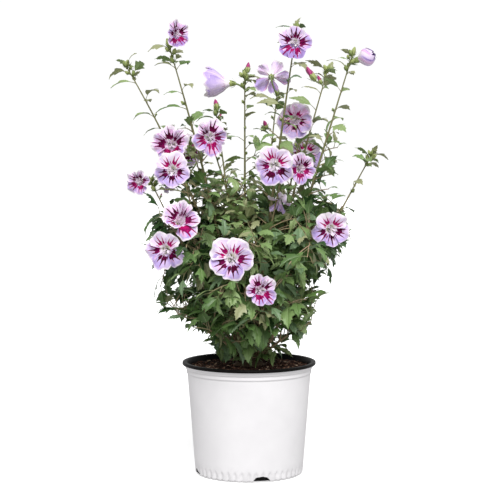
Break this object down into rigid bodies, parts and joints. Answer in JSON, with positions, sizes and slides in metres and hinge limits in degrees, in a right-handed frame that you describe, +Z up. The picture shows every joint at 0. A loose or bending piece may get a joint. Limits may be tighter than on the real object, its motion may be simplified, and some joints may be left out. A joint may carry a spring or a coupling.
{
  "type": "potted rose of sharon shrub",
  "caption": "Flowering hibiscus shrub in a round nursery pot: tall leafy canes fan out of one woody crown, with wide five-petalled blooms, buds and a low leafy bush.",
  "frame": {"origin": "centre of the pot's flat underside", "axes": "+Z up the pot's axis, -Y towards the front, +X to the right seen from the front"},
  "size_m": [0.5984, 0.5102, 0.9607],
  "materials": {
    "pot_white": "smooth moulded white outside, black inside and on the lip",
    "potting_mix": "loose dark bark crumbs",
    "crown_bark": "grey-brown bark with shallow fissures",
    "cane_bark": "green-brown young bark with pale pores",
    "leaf": "soft satin leaf",
    "shoot": "soft satin leaf with pale petals"
  },
  "bodies": {
    "root": {"bough_high_front": "cane_bark", "bough_high_left_front": "cane_bark", "bough_high_rear": "cane_bark", "bough_high_rear_left": "cane_bark", "bough_high_right": "cane_bark", "bough_high_right_front": "cane_bark", "bough_low_front": "cane_bark", "bough_low_left": "cane_bark", "bough_low_left_front": "cane_bark", "bough_low_rear_left": "cane_bark", "bough_low_rear_right": "cane_bark", "bough_low_right": "cane_bark", "cane_back": "cane_bark", "cane_centre_tall": "cane_bark", "cane_far_left": "cane_bark", "cane_far_right": "cane_bark", "cane_front": "cane_bark", "cane_left_back": "cane_bark", "cane_left_front": "cane_bark", "cane_left_inner": "cane_bark", "cane_left_low": "cane_bark", "cane_left_tall": "cane_bark", "cane_middle": "cane_bark", "cane_rear_left": "cane_bark", "cane_rear_right": "cane_bark", "cane_right_back": "cane_bark", "cane_right_tall": "cane_bark", "crown": "crown_bark", "foliage_high_front": "leaf", "foliage_high_left_front": "leaf", "foliage_high_rear": "leaf", "foliage_high_rear_left": "leaf", "foliage_high_right": "leaf", "foliage_high_right_front": "leaf", "foliage_low_front": "leaf", "foliage_low_left": "leaf", "foliage_low_left_front": "leaf", "foliage_low_rear_left": "leaf", "foliage_low_rear_right": "leaf", "foliage_low_right": "leaf", "pot": "pot_white", "shoot_back": "shoot", "shoot_centre_tall": "shoot", "shoot_far_left": "shoot", "shoot_far_right": "shoot", "shoot_front": "shoot", "shoot_left_back": "shoot", "shoot_left_front": "shoot", "shoot_left_inner": "shoot", "shoot_left_low": "shoot", "shoot_left_tall": "shoot", "shoot_middle": "shoot", "shoot_rear_left": "shoot", "shoot_rear_right": "shoot", "shoot_right_back": "shoot", "shoot_right_tall": "shoot", "soil": "potting_mix"}
  },
  "joints": []
}
